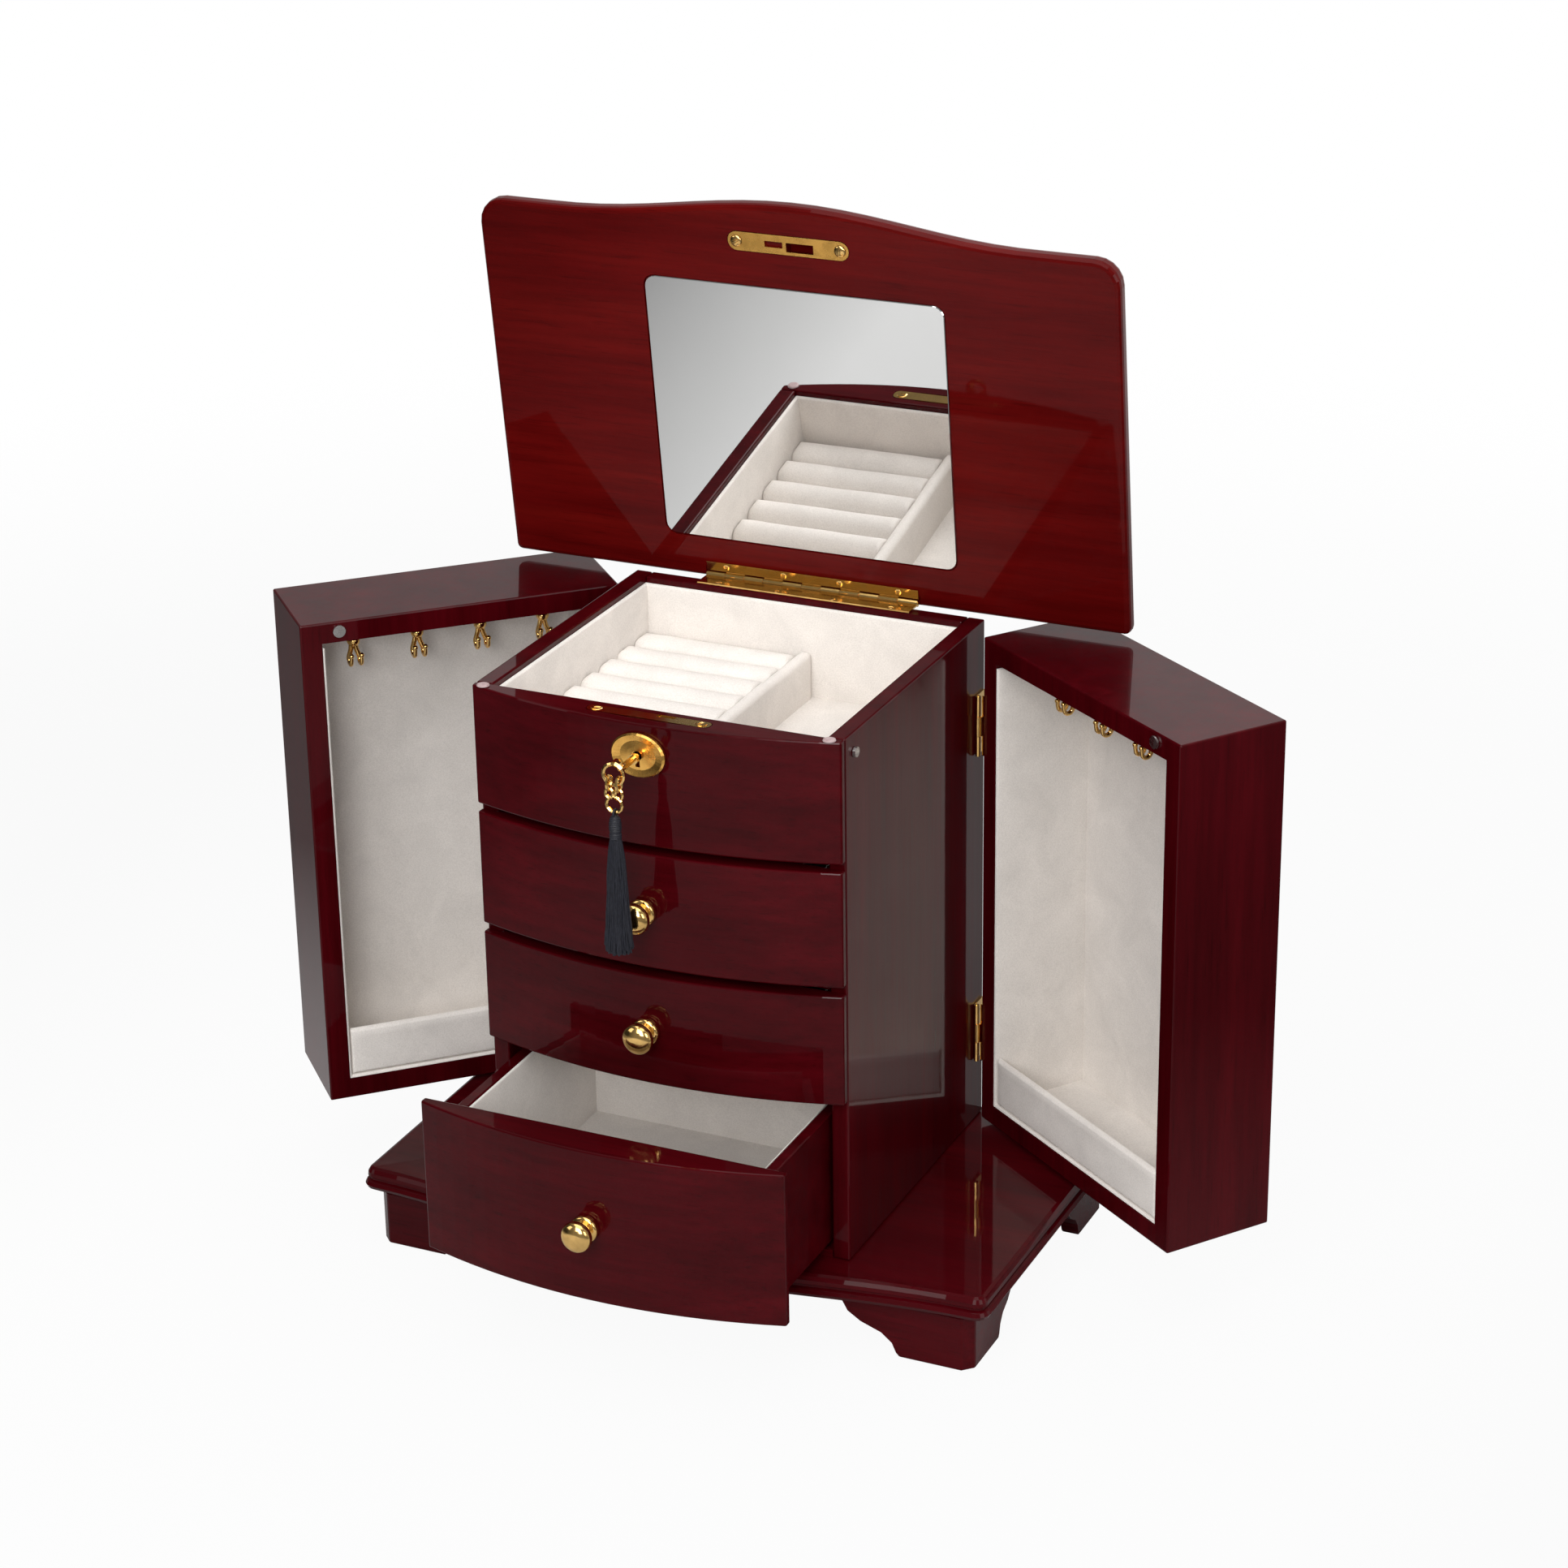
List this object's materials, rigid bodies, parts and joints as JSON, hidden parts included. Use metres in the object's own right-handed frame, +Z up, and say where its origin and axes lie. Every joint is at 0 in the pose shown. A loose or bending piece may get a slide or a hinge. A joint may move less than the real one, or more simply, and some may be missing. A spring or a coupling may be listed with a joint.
{
  "type": "jewelry armoire",
  "caption": "Bow-fronted jewelry cabinet with a mirrored lid over a ring tray, knobbed drawers, lined swing-out side doors and bracket feet.",
  "frame": {"origin": "centre of the bounding box in x and y, on the plane the feet stand on, in the pictured pose with the lid up, both side doors part open and the lowest drawer part out", "axes": "+Z up, +X to the cabinet's right as seen from the front, -Y the way the drawers pull out"},
  "size_m": [0.5156, 0.304, 0.503],
  "materials": {
    "cherry_lacquer": "high-gloss clear lacquer over dark cherry-red stained wood",
    "velvet": "off-white short-pile velvet",
    "brass": "polished",
    "mirror_glass": "silvered glass with a thin bevel",
    "magnet_steel": "plated",
    "bumper": "translucent soft pad",
    "tassel_thread": "near-black silky thread"
  },
  "bodies": {
    "cabinet": {"base_board": "cherry_lacquer", "foot_front_left": "cherry_lacquer", "foot_front_right": "cherry_lacquer", "foot_back_left": "cherry_lacquer", "foot_back_right": "cherry_lacquer", "side_panel_left": "cherry_lacquer", "side_panel_right": "cherry_lacquer", "back_panel": "cherry_lacquer", "dust_board_upper": "cherry_lacquer", "dust_board_lower": "cherry_lacquer", "tray_floor": "cherry_lacquer", "top_fascia": "cherry_lacquer", "lock_case": "brass", "escutcheon": "brass", "tray_lining": "velvet", "ring_rolls": "velvet", "tray_divider": "velvet", "rim_bumper_left": "bumper", "rim_bumper_right": "bumper", "lid_hinge_cabinet_leaf": "brass", "door_left_upper_hinge_cabinet_leaf": "brass", "door_left_lower_hinge_cabinet_leaf": "brass", "door_left_catch": "magnet_steel", "door_right_upper_hinge_cabinet_leaf": "brass", "door_right_lower_hinge_cabinet_leaf": "brass", "door_right_catch": "magnet_steel"},
    "lock_bolt": {"lock_bolt": "brass"},
    "key": {"key": "brass"},
    "key_tassel": {"key_chain": "brass", "tassel": "tassel_thread"},
    "lid": {"lid_board": "cherry_lacquer", "lid_mirror": "mirror_glass", "strike_plate": "brass", "lid_hinge_lid_leaf": "brass"},
    "door_left": {"door_left_case": "cherry_lacquer", "door_left_lining": "velvet", "door_left_pocket": "velvet", "door_left_hooks": "brass", "door_left_magnet": "magnet_steel", "door_left_upper_hinge_door_leaf": "brass", "door_left_lower_hinge_door_leaf": "brass"},
    "door_right": {"door_right_case": "cherry_lacquer", "door_right_lining": "velvet", "door_right_pocket": "velvet", "door_right_hooks": "brass", "door_right_magnet": "magnet_steel", "door_right_upper_hinge_door_leaf": "brass", "door_right_lower_hinge_door_leaf": "brass"},
    "drawer_1": {"drawer_1_front": "cherry_lacquer", "drawer_1_box": "cherry_lacquer", "drawer_1_lining": "velvet", "drawer_1_knob": "brass"},
    "drawer_2": {"drawer_2_front": "cherry_lacquer", "drawer_2_box": "cherry_lacquer", "drawer_2_lining": "velvet", "drawer_2_knob": "brass"},
    "drawer_3": {"drawer_3_front": "cherry_lacquer", "drawer_3_box": "cherry_lacquer", "drawer_3_lining": "velvet", "drawer_3_knob": "brass"}
  },
  "joints": [
    {"name": "lid_hinge", "type": "hinge", "parent": "cabinet", "child": "lid", "pos_m": [-0.00452, 0.12116, 0.3062], "axis": [-1, 0, 0], "range_deg": [-82.5, 12.5]},
    {"name": "door_left_hinge", "type": "hinge", "parent": "cabinet", "child": "door_left", "pos_m": [-0.09922, 0.10456, 0.1725], "axis": [0, 0, -1], "range_deg": [-45.7, 49.3]},
    {"name": "door_right_hinge", "type": "hinge", "parent": "cabinet", "child": "door_right", "pos_m": [0.09018, 0.10456, 0.1725], "axis": [0, 0, 1], "range_deg": [-54.5, 40.5]},
    {"name": "drawer_1_slide", "type": "slide", "parent": "cabinet", "child": "drawer_1", "axis": [0, -1, 0], "range_m": [0, 0.11], "deforming": ["tassel"]},
    {"name": "drawer_2_slide", "type": "slide", "parent": "cabinet", "child": "drawer_2", "axis": [0, -1, 0], "range_m": [0, 0.11]},
    {"name": "drawer_3_slide", "type": "slide", "parent": "cabinet", "child": "drawer_3", "axis": [0, -1, 0], "range_m": [-0.0666, 0.0434]},
    {"name": "key_turn", "type": "hinge", "parent": "cabinet", "child": "key", "pos_m": [-0.00452, -0.09344, 0.2904], "axis": [0, 1, 0], "range_deg": [0, 90]},
    {"name": "lock_bolt_slide", "type": "slide", "parent": "cabinet", "child": "lock_bolt", "axis": [0, 0, 1], "range_m": [0, 0.0042]},
    {"name": "tassel_swing", "type": "hinge", "parent": "cabinet", "child": "key_tassel", "pos_m": [-0.00452, -0.09344, 0.2904], "axis": [0, 1, 0], "range_deg": [-10, 10]}
  ],
  "couplings": [
    {"joint": "lock_bolt_slide", "follows": "key_turn", "m_per_rad": 0.0025}
  ]
}
